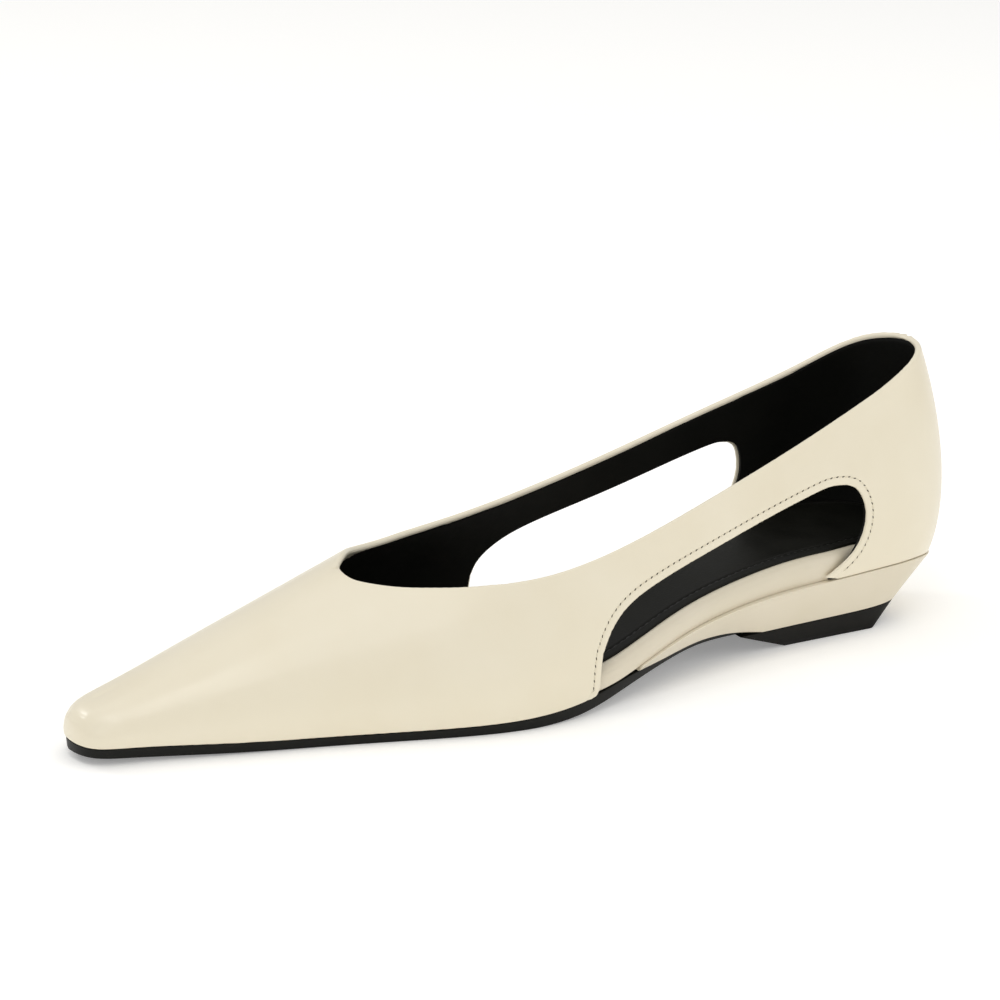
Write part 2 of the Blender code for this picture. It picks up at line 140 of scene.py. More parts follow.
def upperPoint(station, rise, side):
    # outer face: one cubic from the feather line (rise 0) to the ridge (rise 1)
    station, rise = np.broadcast_arrays(station, rise)
    foot = np.stack([station, side * halfWidth(station, side), feather(station)], -1)
    crestStation = ridgeStation(station)
    crest = np.stack([crestStation, 0 * crestStation, sections["ridge"](crestStation)], -1)
    reach = (foot - crest) * (1, 1, 0)
    outward = unit(reach)
    height = (crest - foot) * (0, 0, 1)
    flare, sideShare, crown = (sections[name](station)[..., None] for name in ("flare", "side", "crown"))
    lowHandle = foot + flare * outward + sideShare * height
    topHandle = crest + crown * reach
    t = rise[..., None]
    lowHalf = foot * (1 - t) ** 3 + 3 * lowHandle * t * (1 - t) ** 2
    return lowHalf + 3 * topHandle * t ** 2 * (1 - t) + crest * t ** 3


def riseUntil(station, side, short, halvings=40):
    # how far up its section the upper still falls short of a limit
    low, high = np.zeros(np.shape(station)), np.ones(np.shape(station))
    for _ in range(halvings):
        middle = (low + high) / 2
        under = short(upperPoint(station, middle, side))
        low, high = np.where(under, middle, low), np.where(under, high, middle)
    return (low + high) / 2


def riseAt(station, height, side):
    return riseUntil(station, side, lambda point: point[..., 2] < height)


def toFrame(points):
    return (np.asarray(points) - last["centre"]) * mm


# Directions, rows and columns

def unit(vectors):
    return vectors / np.maximum(np.linalg.norm(vectors, axis=-1, keepdims=True), tiny)


def even(count):
    return np.linspace(0, 1, count + 1)


def fromTip(shares, ease=0.25):  # starts slowly, so that columns stay even round a tip
    return shares ** 2 / (shares + ease * (1 - shares))


def toBack(shares, ease=0.25):
    return 1 - fromTip(1 - shares, ease)


def joinShares(first, second, split):  # one run of shares after the other
    return np.concatenate([first * split, split + (1 - split) * second])


def graded(length, coarse, fine, startBand=0.0, endBand=0.0):  # shares with fine steps in bands at the ends
    body = max(1, round((length - startBand - endBand) / coarse))
    steps = [fine] * round(startBand / fine) + [coarse] * body + [fine] * round(endBand / fine)
    return np.concatenate([[0.0], np.cumsum(steps)]) / sum(steps)


def smoothStep(value, start, end):
    share = np.clip((value - start) / (end - start), 0, 1)
    return share * share * (3 - 2 * share)


# The upper's edges and patches

cut = {
    "throat": 76.6, "throatFoot": 54.0,      # station of the throat, and of its column on the feather line
    "strapStart": 110.0, "strapEnd": 208.0,  # stations on the topline
    "heelTurn": (222.0, 236.0),              # round the heel an inset edge moves straight down its section
}
toplineTable = stationTable(
    "station lateral medial",
    (83, 35.8, 36.0), (92, 35.5, 34.7), (105, 35.8, 34.5), (123, 37.2, 36.4), (145, 41.4, 41.4),
    (170, 48.1, 48.3), (200, 57.3, 57.3), (228, 67.6, 66.7), (247.6, 74.5, 74.1), (254.6, 75.8, 75.8),
)
throatEdge = {  # its round front: distance from the ridge on each side
    lateral: pathTable(
        "station across",
        (cut["throat"], 0.0), (76.3, 2.2), (76.4, 4.8), (77.2, 7.6), (79.1, 10.3), (82.7, 13.8),
        (87.0, 17.0), (92.0, 20.0), (100.0, 24.2), (cut["strapStart"], 28.2),
    ),
    medial: pathTable(
        "station across",
        (cut["throat"], 0.0), (77.5, 1.7), (78.9, 3.7), (80.7, 6.2), (82.9, 9.4), (85.5, 13.2),
        (88.6, 16.8), (92.5, 19.9), (100.0, 23.6), (cut["strapStart"], 25.9),
    ),
}
cutoutFront = pathTable(
    "lateral height medial",
    (129.4, 5.0, 128.9), (130.6, 6.4, 130.0), (131.2, 10.0, 130.4), (132.2, 16.4, 131.0),
)
cutoutArch = pathTable(
    "lateral height medial",
    (132.2, 16.4, 131.0), (134.4, 20.3, 132.6), (138.6, 24.9, 137.0), (150.5, 30.5, 149.0),
    (169.0, 35.5, 167.0), (187.0, 40.2, 184.0), (204.0, 44.3, 199.0), (210.0, 45.2, 204.2),
    (214.5, 44.8, 207.6),
)
cutoutRear = pathTable(
    "lateral height medial",
    (208.2, 19.9, 199.7), (213.0, 22.6, 203.6), (217.6, 26.4, 207.6), (220.2, 31.5, 210.3),
    (220.8, 36.0, 211.3), (219.6, 40.6, 210.8), (217.4, 43.5, 209.5), (214.5, 44.8, 207.6),
)


def edgePlaces(path, shares, side):
    station = path[sideNames[side]](shares)
    return np.stack([station, riseAt(station, path["height"](shares), side)], -1)


def toplinePlaces(station, side):
    return np.stack([station, riseAt(station, toplineTable[sideNames[side]](station), side)], -1)


def throatPlaces(shares, side):
    station, across = (throatEdge[side][name](shares) for name in ("station", "across"))
    places = np.stack([station, riseUntil(station, side, lambda point: np.abs(point[..., 1]) > across)], -1)
    places[-1] = toplinePlaces(places[-1, 0], side)
    return places


throatFold = {  # extra turned-in leather beside the throat: widths, and stations where they start and fade
    "start": (77.5, 83.0), "wide": 4.6, "wideFade": (87.3, 92.5), "narrow": 0.7, "narrowFade": (90.0, 97.0),
}
counterTip = {"from": 190.0, "clear": 1.6, "rises": (0.03, 0.1)}  # how far the lining stays back there


def throatTurn(station, side):  # the folded edge turns in further beside the throat, on the medial side
    wide = throatFold["wide"] * (1 - smoothStep(station, *throatFold["wideFade"]))
    narrow = throatFold["narrow"] * (1 - smoothStep(station, *throatFold["narrowFade"]))
    return (wide + narrow) * smoothStep(station, *throatFold["start"]) * (side > 0)


def tipClear(places):  # the lining stays clear of the counter's tip
    atCounter = places[:, 0] > counterTip["from"]
    return counterTip["clear"] * atCounter * (1 - smoothStep(places[:, 1], *counterTip["rises"]))


def surfaceSlopes(places, side, stationStep=0.05, riseStep=0.001):  # along the station and up the rise
    station, rise = places.T
    ahead, behind = (upperPoint(station + step, rise, side) for step in (stationStep, -stationStep))
    above, below = (upperPoint(station, rise + step, side) for step in (riseStep, -riseStep))
    return (ahead - behind) / (2 * stationStep), (above - below) / (2 * riseStep)


def surfaceNormals(places, side):
    return unit(np.cross(*surfaceSlopes(places, side))) * -side


def insetPlaces(places, side, distance, turn=1.0):  # moves an edge sideways over the surface, by millimetres
    station, rise = places.T
    alongStation, alongRise = surfaceSlopes(places, side)
    normal = surfaceNormals(places, side)
    tangent = unit(np.gradient(upperPoint(station, rise, side), axis=0))
    distance = np.broadcast_to(distance, station.shape)
    move = np.cross(normal, tangent) * (-side * turn * distance)[:, None]
    a, b, c = ((alongStation ** 2).sum(-1), (alongStation * alongRise).sum(-1), (alongRise ** 2).sum(-1))
    p, q = (alongStation * move).sum(-1), (alongRise * move).sum(-1)
    shift = np.stack([c * p - b * q, a * q - b * p], -1) / (a * c - b * b)[:, None]
    straightDown = np.stack([0 * station, -distance / np.sqrt(c)], -1)
    back = smoothStep(station, *cut["heelTurn"])[:, None]
    return places + shift * (1 - back) + straightDown * back


def coons(bottom, top, left, right, across, up):
    across, up = across[:, None, None], up[None, :, None]
    upright = (1 - up) * bottom[:, None] + up * top[:, None]
    level = (1 - across) * left[None] + across * right[None]
    frontCorners = (1 - up) * bottom[0] + up * top[0]
    backCorners = (1 - up) * bottom[-1] + up * top[-1]
    return upright + level - (1 - across) * frontCorners - across * backCorners


def between(start, end, shares):
    return start + shares[:, None] * (end - start)


def cutoutRim(side, frontShares, archShares, rearShares):
    # up behind the vamp, under the strap, down the counter
    front = edgePlaces(cutoutFront, frontShares, side)
    arch = edgePlaces(cutoutArch, archShares, side)
    rear = edgePlaces(cutoutRear, rearShares, side)
    return np.concatenate([front, arch[1:], rear[::-1][1:]])


def fromFoot(edge):  # cuts an inset edge where it comes up through the feather line
    under = np.flatnonzero(edge[:, 1] < 0)
    if len(under) == 0:
        return edge
    i, places = under[-1], np.arange(len(edge))
    start = i - edge[i, 1] / (edge[i + 1, 1] - edge[i, 1])
    where = start + (len(edge) - 1 - start) * even(len(edge) - 1)
    return np.stack([np.interp(where, places, edge[:, k]) for k in (0, 1)], -1)


spans = {  # about how long the patches' sides are, for their numbers of rows and columns
    "front": 12, "strap": 100, "strapUp": 16, "rear": 32, "toe": 54, "throat": 76, "counter": 52,
    "rearStep": 0.7, "counterStep": 0.9,                     # shares of the coarse step
    "vampSplit": 0.4, "counterSplit": 0.5, "tipFade": 0.12,  # shares of a patch
}


def upperPatches(side, mesh, cutInset, topInset):
    coarse, fine = mesh["coarse"], mesh["fine"]
    frontShares = graded(spans["front"], coarse, fine, mesh["footBand"], 0)
    archShares = even(round(spans["strap"] / coarse))
    strapShares = graded(spans["strapUp"], coarse, fine, mesh["cutBand"], mesh["topBand"])
    rearShares = graded(spans["rear"], coarse * spans["rearStep"], fine, mesh["footBand"], 0)
    toeShares = fromTip(even(round(spans["toe"] / coarse)))
    throatShares = graded(spans["throat"], coarse, fine, 0, mesh["cutBand"])[1:]
    counterShares = toBack(graded(spans["counter"], coarse * spans["counterStep"], fine, mesh["cutBand"], 0))

    rim = cutoutRim(side, frontShares, archShares, rearShares)
    frontEnd, archEnd = len(frontShares) - 1, len(frontShares) + len(archShares) - 2
    if cutInset:
        rim = insetPlaces(rim, side, cutInset + tipClear(rim))
    front, arch, rear = rim[:frontEnd + 1], rim[frontEnd:archEnd + 1], rim[archEnd:][::-1]
    if cutInset:
        front, rear = front.copy(), fromFoot(rear)
        front[0, 1] = 0.0

    throatPart = throatPlaces(np.concatenate([[0], throatShares]), side)
    strapStations = cut["strapStart"] + (cut["strapEnd"] - cut["strapStart"]) * archShares
    counterStations = cut["strapEnd"] + (last["seatEnd"] - cut["strapEnd"]) * counterShares
    edge = toplinePlaces(np.concatenate([strapStations[1:], counterStations[1:]]), side)
    edge = np.concatenate([throatPart, edge])
    if topInset:
        edge = insetPlaces(edge, side, topInset + throatTurn(edge[:, 0], side), -1.0)
        edge[0] = cut["throat"] - topInset, 1.0
    strapFrom, strapTo = len(throatPart) - 1, len(throatPart) + len(strapStations) - 2
    throat, strapTop, counterTop = edge[1:strapFrom + 1], edge[strapFrom:strapTo + 1], edge[strapTo:]

    toeFoot = last["toe"] + (cut["throatFoot"] - last["toe"]) * toeShares
    throatFoot = cut["throatFoot"] + (front[0, 0] - cut["throatFoot"]) * throatShares
    foot = np.concatenate([toeFoot, throatFoot])
    foot = np.stack([foot, 0 * foot], -1)
    foot[-1] = front[0]
    ridge = last["toe"] + (edge[0, 0] - last["toe"]) * toeShares
    ridge = np.stack([ridge, 1 + 0 * ridge], -1)
    vampTop = np.concatenate([ridge, throat])
    seat = rear[0, 0] + (last["seatEnd"] - rear[0, 0]) * counterShares
    seat = np.stack([seat, rear[0, 1] * (1 - smoothStep(counterShares, 0, spans["tipFade"]))], -1)

    strapFront = between(arch[0], strapTop[0], strapShares)
    strapBack = between(arch[-1], strapTop[-1], strapShares)
    vampUp = joinShares(frontShares, strapShares[1:], spans["vampSplit"])
    counterUp = joinShares(rearShares, strapShares[1:], spans["counterSplit"])
    vampAcross = joinShares(toeShares, throatShares, spans["vampSplit"])
    vampNose = between(foot[0], vampTop[0], vampUp)
    backSeam = between(seat[-1], counterTop[-1], counterUp)
    vampEnd = np.concatenate([front, strapFront[1:]])
    counterFront = np.concatenate([rear, strapBack[1:]])
    return (coons(foot, vampTop, vampNose, vampEnd, vampAcross, vampUp),
            coons(arch, strapTop, strapFront, strapBack, archShares, strapShares),
            coons(seat, counterTop, counterFront, backSeam, counterShares, counterUp))


# Mesh helpers

def addGrid(bm, points):  # points in millimetres, columns by rows
    columns, rows = points.shape[:2]
    verts = [bm.verts.new(place) for place in toFrame(points).reshape(-1, 3)]
    for i in range(columns - 1):
        for j in range(rows - 1):
            corner = i * rows + j
            quad = (verts[corner], verts[corner + rows], verts[corner + rows + 1], verts[corner + 1])
            bm.faces.new(quad)


def makePiece(name, mesh, material, replaces=None, sharpAngle=50):
    mesh.shade_smooth()
    mesh.set_sharp_from_angle(angle=math.radians(sharpAngle))
    mesh.materials.append(material)
    piece = bpy.data.objects.new(name, mesh)
    bpy.context.scene.collection.objects.link(piece)
    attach(piece, "root")
    if replaces:
        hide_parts(replaces)
    print("piece", name, len(mesh.polygons), "faces")
    return piece


toeEase = {  # stretch of the toe's ridge that is smoothed, in millimetres, and how much
    "end": 34.0, "half": 5.0, "low": 10.0, "rounds": 20, "factor": 0.5,
}


def easeToe(bm):  # the two sides run smoothly into each other over the toe
    endX, ridgeY, _ = toFrame((toeEase["end"], 0, 0))
    ridge = [vert for vert in bm.verts if vert.co.x < endX and vert.co.z > toeEase["low"] * mm
             and abs(vert.co.y - ridgeY) < toeEase["half"] * mm]
    for _ in range(toeEase["rounds"]):
        bmesh.ops.smooth_vert(bm, verts=ridge, factor=toeEase["factor"],
                              use_axis_x=True, use_axis_y=True, use_axis_z=True)


def upperSheet(mesh, cutInsets=(0.0, 0.0), topInset=0.0):
    # welded outer face, inset from the cut-out on each side and from the topline
    bm = bmesh.new()
    for side, cutInset in zip((lateral, medial), cutInsets):
        for patch in upperPatches(side, mesh, cutInset, topInset):
            addGrid(bm, upperPoint(patch[..., 0], patch[..., 1], side))
    bmesh.ops.remove_doubles(bm, verts=bm.verts, dist=weldGap)
    bmesh.ops.recalc_face_normals(bm, faces=bm.faces)
    easeToe(bm)
    nose = min(bm.faces, key=lambda face: face.calc_center_median().x)
    if nose.normal.x > 0:
        bmesh.ops.reverse_faces(bm, faces=bm.faces)
    bm.normal_update()
    return bm


def shellMesh(name, bm, outerShift, innerShift):
    # closed shell between two offsets of a sheet, in millimetres
    places = np.array([vert.co for vert in bm.verts])
    normals = np.array([vert.normal for vert in bm.verts])
    bm.verts.index_update()
    faces = [[vert.index for vert in face.verts] for face in bm.faces]
    count = len(places)
    inner = [[index + count for index in reversed(face)] for face in faces]
    rim = []
    for edge in bm.edges:
        if edge.is_boundary:
            loop = edge.link_loops[0]
            a, b = loop.vert.index, loop.link_loop_next.vert.index
            rim.append([b, a, a + count, b + count])
    outerPlaces = places + normals * outerShift[:, None] * mm
    innerPlaces = places + normals * innerShift[:, None] * mm
    mesh = bpy.data.meshes.new(name)
    mesh.from_pydata(np.concatenate([outerPlaces, innerPlaces]).tolist(), [], faces + inner + rim)
    mesh.validate()
    return mesh


def nearest(bm, edges):
    # nearest point of some edges to each point of a sheet, and how far it is in millimetres
    tree = KDTree(len(edges))
    for i, place in enumerate(toFrame(edges)):
        tree.insert(place, i)
    tree.balance()
    found = [tree.find(vert.co) for vert in bm.verts]
    return edges[[index for _, index, _ in found]], np.array([distance for _, _, distance in found]) / mm


def rolled(distance, radius):  # how far a rounded edge falls away
    inside = np.clip(radius - distance, 0, radius)
    return radius - np.sqrt(radius ** 2 - inside ** 2)


def meshFrom(name, bm):
    mesh = bpy.data.meshes.new(name)
    bm.to_mesh(mesh)
    bm.free()
    return mesh


def loftMesh(name, rings):  # rings in millimetres, closed round
    rings = np.array(rings)
    bm = bmesh.new()
    addGrid(bm, np.concatenate([rings, rings[:, :1]], 1))
    bmesh.ops.remove_doubles(bm, verts=bm.verts, dist=weldGap)
    bmesh.ops.holes_fill(bm, edges=[edge for edge in bm.edges if edge.is_boundary])
    bmesh.ops.recalc_face_normals(bm, faces=bm.faces)
    return meshFrom(name, bm)


# Materials

def colour(code):  # sRGB hex to linear
    parts = [int(code[i:i + 2], 16) / 255 for i in (1, 3, 5)]
    return [part / 12.92 if part <= 0.04045 else ((part + 0.055) / 1.055) ** 2.4 for part in parts] + [1.0]


def addNode(material, kind, values=None, links=None, **settings):
    # values by socket, links as (node, output)
    node = material.node_tree.nodes.new(kind)
    for name, value in settings.items():
        setattr(node, name, value)
    for name, value in (values or {}).items():
        node.inputs[name].default_value = value
    for name, (source, output) in (links or {}).items():
        material.node_tree.links.new(source.outputs[output], node.inputs[name])
    return node


perMetre = 1 / mm
mottleRange = (0.3, 0.7)  # most of the noise lies between these
poresPerPebble = 2.6


def surface(name, finish):
    # grain: creases between small pebbles; mottle: slow change of shade and gloss
    material = bpy.data.materials.new(name)
    material.use_nodes = True
    shader = material.node_tree.nodes["Principled BSDF"]
    shader.inputs["IOR"].default_value = finish["ior"]
    shader.inputs["Metallic"].default_value = 0.0
    shader.inputs["Specular IOR Level"].default_value = finish.get("sheen", 0.5)
    shader.inputs["Coat Weight"].default_value = finish.get("coat", 0.0)
    shader.inputs["Coat Roughness"].default_value = finish.get("coatRoughness", 0.3)
    place = addNode(material, "ShaderNodeTexCoord")
    onPiece = {"Vector": (place, "Object")}
    mottle = addNode(material, "ShaderNodeTexNoise",
                     {"Scale": perMetre / finish["mottleSize"], "Detail": 3.0}, onPiece)
    shades = addNode(material, "ShaderNodeValToRGB", None, {"Fac": (mottle, "Fac")})
    for stop, code, position in zip(shades.color_ramp.elements, finish["colours"], mottleRange):
        stop.color = colour(code)
        stop.position = position
    glossRange = zip(("From Min", "From Max", "To Min", "To Max"), mottleRange + finish["roughness"])
    gloss = addNode(material, "ShaderNodeMapRange", dict(glossRange), {"Value": (mottle, "Fac")})
    grainScale = perMetre / finish["grainSize"]
    pebbles = addNode(material, "ShaderNodeTexVoronoi", {"Scale": grainScale, "Randomness": 1.0}, onPiece,
                      feature="F1")
    pores = addNode(material, "ShaderNodeTexNoise",
                    {"Scale": poresPerPebble * grainScale, "Detail": 2.0}, onPiece)
    grain = addNode(material, "ShaderNodeMath", None, {0: (pores, "Fac"), 1: (pebbles, "Distance")},
                    operation="SUBTRACT")
    bump = addNode(material, "ShaderNodeBump",
                   {"Strength": finish["grain"], "Distance": finish["grainDepth"] * mm},
                   {"Height": (grain, "Value")})
    links = material.node_tree.links
    links.new(shades.outputs["Color"], shader.inputs["Base Color"])
    links.new(gloss.outputs["Result"], shader.inputs["Roughness"])
    links.new(bump.outputs["Normal"], shader.inputs["Normal"])
    return material


# Smooth calf leather, drum dyed, with a thin satin pigment coat: even cream with a faint fine grain
creamLeather = surface("smooth cream calf leather", {
    "colours": ("#ece2c9", "#efe6cf"), "mottleSize": 24.0, "roughness": (0.36, 0.42), "ior": 1.48,
    "grainSize": 0.75, "grain": 0.16, "grainDepth": 0.05, "coat": 0.25, "coatRoughness": 0.18})
# The same leather stretched round wedge and insole board: tighter, so smoother; its colour is painted a
# shade deeper, as painted shade on the downward-facing wedge and on the footbed inside the shoe
shadedCreamWrap = surface("cream leather wrap, with painted shade", {
    "colours": ("#dfd5bd", "#e3d9c4"), "mottleSize": 20.0, "roughness": (0.38, 0.44), "ior": 1.48,
    "grainSize": 0.8, "grain": 0.13, "grainDepth": 0.05, "coat": 0.08, "coatRoughness": 0.25})
# Black sheepskin lining, soft and matt; its open pores swallow part of the sheen
blackLining = surface("black sheepskin lining", {
    "colours": ("#0b0b08", "#11110d"), "mottleSize": 15.0, "roughness": (0.55, 0.65), "ior": 1.45,
    "grainSize": 0.9, "grain": 0.3, "grainDepth": 0.06, "sheen": 0.2})
# Black sock leather, buffed: its grain greys where it catches the light, with little sheen
blackSock = surface("black sock leather", {
    "colours": ("#11110d", "#181813"), "mottleSize": 12.0, "roughness": (0.42, 0.52), "ior": 1.47,
    "grainSize": 0.8, "grain": 0.3, "grainDepth": 0.06, "sheen": 0.15})
# Moulded rubber sole, satin black edge dulled by its mould texture
blackSole = surface("black moulded rubber sole", {
    "colours": ("#0c0c09", "#11110d"), "mottleSize": 10.0, "roughness": (0.42, 0.52), "ior": 1.5,
    "grainSize": 0.6, "grain": 0.12, "grainDepth": 0.04, "sheen": 0.2})
# Heel top piece of cut rubber, duller than the sole
blackLift = surface("black cut rubber top piece", {
    "colours": ("#0f0e0b", "#151411"), "mottleSize": 9.0, "roughness": (0.5, 0.6), "ior": 1.5,
    "grainSize": 0.5, "grain": 0.15, "grainDepth": 0.04, "sheen": 0.15})
# Bonded polyester thread, a shade darker than the leather
creamThread = surface("bonded polyester thread, cream", {
    "colours": ("#dbd1b8", "#e4dbc4"), "mottleSize": 2.0, "roughness": (0.5, 0.6), "ior": 1.5,
    "grainSize": 0.25, "grain": 0.4, "grainDepth": 0.03})
# Needle holes, in shade
needleShade = surface("needle hole, raw leather in shade", {
    "colours": ("#463f31", "#564e3e"), "mottleSize": 1.0, "roughness": (0.8, 0.9), "ior": 1.45,
    "grainSize": 0.3, "grain": 0.2, "grainDepth": 0.03})
# Black bonded thread, a little shiny
blackThread = surface("bonded polyester thread, black", {
    "colours": ("#0d0d0a", "#15150f"), "mottleSize": 2.0, "roughness": (0.35, 0.45), "ior": 1.5,
    "grainSize": 0.25, "grain": 0.4, "grainDepth": 0.03})
print("materials made")


# Upper: outer leather with folded edges, then its lining

leather = {
    "mesh": {"coarse": 0.95, "fine": 0.27, "footBand": 1.4, "cutBand": 3.8, "topBand": 1.9},
    "thin": 0.8, "folded": 1.76,         # thickness, and where the topline is folded over
    "turnIn": (0.95, 1.12),              # where the fold ends inside
    "cutRadius": 0.36, "topRadius": 0.75, "vampFoot": 0.6, "counterFoot": 0.25,
    "counterFrom": 180.4,                # station between vamp and counter
    "seamInset": 2.2, "groove": 0.14, "grooveWidth": 0.34, "puff": 0.12,
}


def denseEdges(count=900):
    cutEdge, topEdge, footEdge = [], [], []
    for side in (lateral, medial):
        rim = cutoutRim(side, even(count // 6), even(count), even(count // 3))
        cutEdge.append(upperPoint(rim[:, 0], rim[:, 1], side))
        backStations = cut["strapStart"] + (last["seatEnd"] - cut["strapStart"]) * even(2 * count)
        edge = np.concatenate([throatPlaces(even(count), side), toplinePlaces(backStations, side)])
        topEdge.append(upperPoint(edge[:, 0], edge[:, 1], side))
        vampFoot = last["toe"] + (rim[0, 0] - last["toe"]) * fromTip(even(2 * count), ease=0.1)
        seatFoot = rim[-1, 0] + (last["seatEnd"] - rim[-1, 0]) * toBack(even(count), ease=0.1)
        footStations = np.concatenate([vampFoot, seatFoot])
        footEdge.append(upperPoint(footStations, 0 * footStations, side))
    return [np.concatenate(points) for points in (cutEdge, topEdge, footEdge)]


cutEdge, topEdge, footEdge = denseEdges()
sheet = upperSheet(leather["mesh"])
(_, toCut), (topPlace, toTop), (_, toFoot) = (nearest(sheet, edge) for edge in (cutEdge, topEdge, footEdge))
counterX = toFrame((leather["counterFrom"], 0, 0))[0]
onVamp = np.array([vert.co.x < counterX for vert in sheet.verts])
footRadius = np.where(onVamp, leather["vampFoot"], leather["counterFoot"])
edgeFall = rolled(toCut, leather["cutRadius"]) + rolled(toTop, leather["topRadius"])
seamShape = np.exp(-((toCut - leather["seamInset"]) / leather["grooveWidth"]) ** 2) * leather["groove"]
puffShape = np.sin(math.pi * np.clip(toCut / leather["seamInset"], 0, 1)) ** 2 * leather["puff"]
outerShift = puffShape - seamShape - edgeFall - rolled(toFoot, footRadius)
foldEnd = toTop - throatTurn(topPlace[:, 0], topPlace[:, 1])
single = smoothStep(foldEnd, *leather["turnIn"])
thickness = leather["folded"] + (leather["thin"] - leather["folded"]) * single
upperMesh = shellMesh("upper_leather", sheet, outerShift, edgeFall - thickness)
sheet.free()
makePiece("upper_leather", upperMesh, creamLeather, "upper", sharpAngle=60)

lining = {
    "mesh": {"coarse": 1.5, "fine": 0.4, "footBand": 1.2, "cutBand": 1.6, "topBand": 1.6},
    "cutInsets": (0.3, 0.7), "topInset": 1.15,  # from the cut-outs, lateral and medial, and from the topline
    "outer": 0.84, "inner": 1.70, "edge": 0.45,
}
sheet = upperSheet(lining["mesh"], lining["cutInsets"], lining["topInset"])
toTop = nearest(sheet, topEdge)[1] - lining["topInset"]
liningInner = -lining["inner"] + rolled(np.maximum(toTop, 0), lining["edge"])
liningMesh = shellMesh("lining", sheet, np.full(len(sheet.verts), -lining["outer"]), liningInner)
sheet.free()
makePiece("lining", liningMesh, blackLining)


# Stitches: thread between needle holes, along a path on a surface

def beadMesh(name, places, tangents, normals, size, ringCount=7, sides=8, tipWidth=0.05):
    # flattened beads along a path, sizes in millimetres
    shares = np.linspace(-1, 1, ringCount)
    angles = np.arange(sides) * 2 * math.pi / sides
    profile = np.sqrt(np.maximum(0, 1 - np.abs(shares) ** size["square"]))
    sideways = np.cross(normals, tangents)
    slant = math.radians(size["slant"])
    tangents, sideways = (tangents * math.cos(slant) + sideways * math.sin(slant),
                          sideways * math.cos(slant) - tangents * math.sin(slant))
    verts, faces = [], []
    for place, tangent, normal, sideway in zip(places, tangents, normals, sideways):
        first = len(verts)
        for share, wide in zip(shares, np.maximum(profile, tipWidth)):
            lift = size["lift"] - size["sink"] * share ** 2
            middle = place + tangent * share * size["length"] / 2 + normal * lift
            for angle in angles:
                across = sideway * math.cos(angle) * size["width"] / 2 * wide
                verts.append(middle + across + normal * math.sin(angle) * size["height"] / 2 * wide)
        for i in range(ringCount - 1):
            for j in range(sides):
                a, b = first + i * sides + j, first + i * sides + (j + 1) % sides
                faces.append((a, b, b + sides, a + sides))
        faces.append([first + j for j in reversed(range(sides))])
        faces.append([first + (ringCount - 1) * sides + j for j in range(sides)])
    mesh = bpy.data.meshes.new(name)
    mesh.from_pydata(toFrame(np.array(verts)).tolist(), [], faces)
    return mesh


def evenSteps(pitch, start, path, *others):  # values at even steps along a path, about a pitch apart
    legs = np.linalg.norm(np.diff(path, axis=0), axis=1)
    along = np.concatenate([[0.0], np.cumsum(legs)])
    count = round(along[-1] / pitch)
    where = (np.arange(count) + start) * along[-1] / count
    return [np.stack([np.interp(where, along, column) for column in values.T], -1)
            for values in (path, *others)]


edgeSeam = {
    "pitch": 1.95, "starts": {"thread": 0.5, "hole": 0.0},  # each thread lies between two holes
    "steps": (40, 200, 80), "foot": 0.02,                   # of the path, and how far up the upper it starts
    "thread": {
        "length": 1.3, "width": 0.4, "height": 0.34, "lift": 0.02, "sink": 0.16,
        "square": 2.5, "slant": 10.0,
    },
    "hole": {
        "length": 0.95, "width": 0.36, "height": 0.18, "lift": 0.03, "sink": 0.0,
        "square": 2.0, "slant": 18.0,
    },
}


def seamPath(side, inset):  # along the cut-out, inset over the leather, with the surface's normals
    rim = cutoutRim(side, *(even(count) for count in edgeSeam["steps"]))
    places = insetPlaces(rim, side, inset)
    places = places[places[:, 1] > edgeSeam["foot"]]
    return upperPoint(places[:, 0], places[:, 1], side), surfaceNormals(places, side)


seamRows = {"thread": [], "hole": []}
for side in (lateral, medial):
    path, normals = seamPath(side, leather["seamInset"])
    tangents = unit(np.gradient(path, axis=0))
    for kind, start in edgeSeam["starts"].items():
        seamRows[kind].append(evenSteps(edgeSeam["pitch"], start, path, normals, tangents))
seamPieces = {"thread": ("cutout_stitches", creamThread), "hole": ("cutout_needle_holes", needleShade)}
for kind, (name, material) in seamPieces.items():
    places, normals, tangents = (np.concatenate(rows) for rows in zip(*seamRows[kind]))
    normals = unit(normals)
    places = places - normals * leather["groove"]
    beads = beadMesh(name, places, unit(tangents), normals, edgeSeam[kind])
    makePiece(name, beads, material)


# Flat pieces under the foot: footbed and sock

footbedThickness = stationTable(
    "station thick",
    (10, 2.6), (40, 4.0), (80, 5.4), (120, 5.8), (165, 5.9),
    (185, 6.4), (202, 6.9), (216, 6.7), (240, 6.0), (257, 5.8),
)["thick"]
bareStretch = {"start": (126.0, 140.0), "end": (210.0, 222.0)}  # where the plates show in the cut-outs


def plateHalf(station, side, plate):  # half width with a start and an end of its own
    front = np.clip((station - plate["start"]) / last["toeRound"], 0, 1)
    back = np.clip((station - last["seatMid"]) / (plate["end"] - last["seatMid"]), 0, 1)
    close = np.sqrt((1 - (1 - front) ** last["toePower"]) * (1 - back ** last["seatPower"]))
    bare = smoothStep(station, *bareStretch["start"]) * (1 - smoothStep(station, *bareStretch["end"]))
    edge = sections[sideNames[side]](station) - plate["inset"] - archDraw(station, side)
    return (edge + plate.get("openOut", 0.0) * bare) * close


def plateStations(plate, count, ease):  # closer together at both ends
    shares = joinShares(fromTip(even(count), ease), toBack(even(count)[1:], ease), 0.5)
    return plate["start"] + (plate["end"] - plate["start"]) * shares


def plateOutline(plate, count=700, ease=0.05):  # closed round: lateral side to the heel, medial side back
    station = plateStations(plate, count, ease)
    low = np.stack([station, -plateHalf(station, lateral, plate)], -1)
    high = np.stack([station, plateHalf(station, medial, plate)], -1)
    return np.concatenate([low, high[::-1][1:-1]])


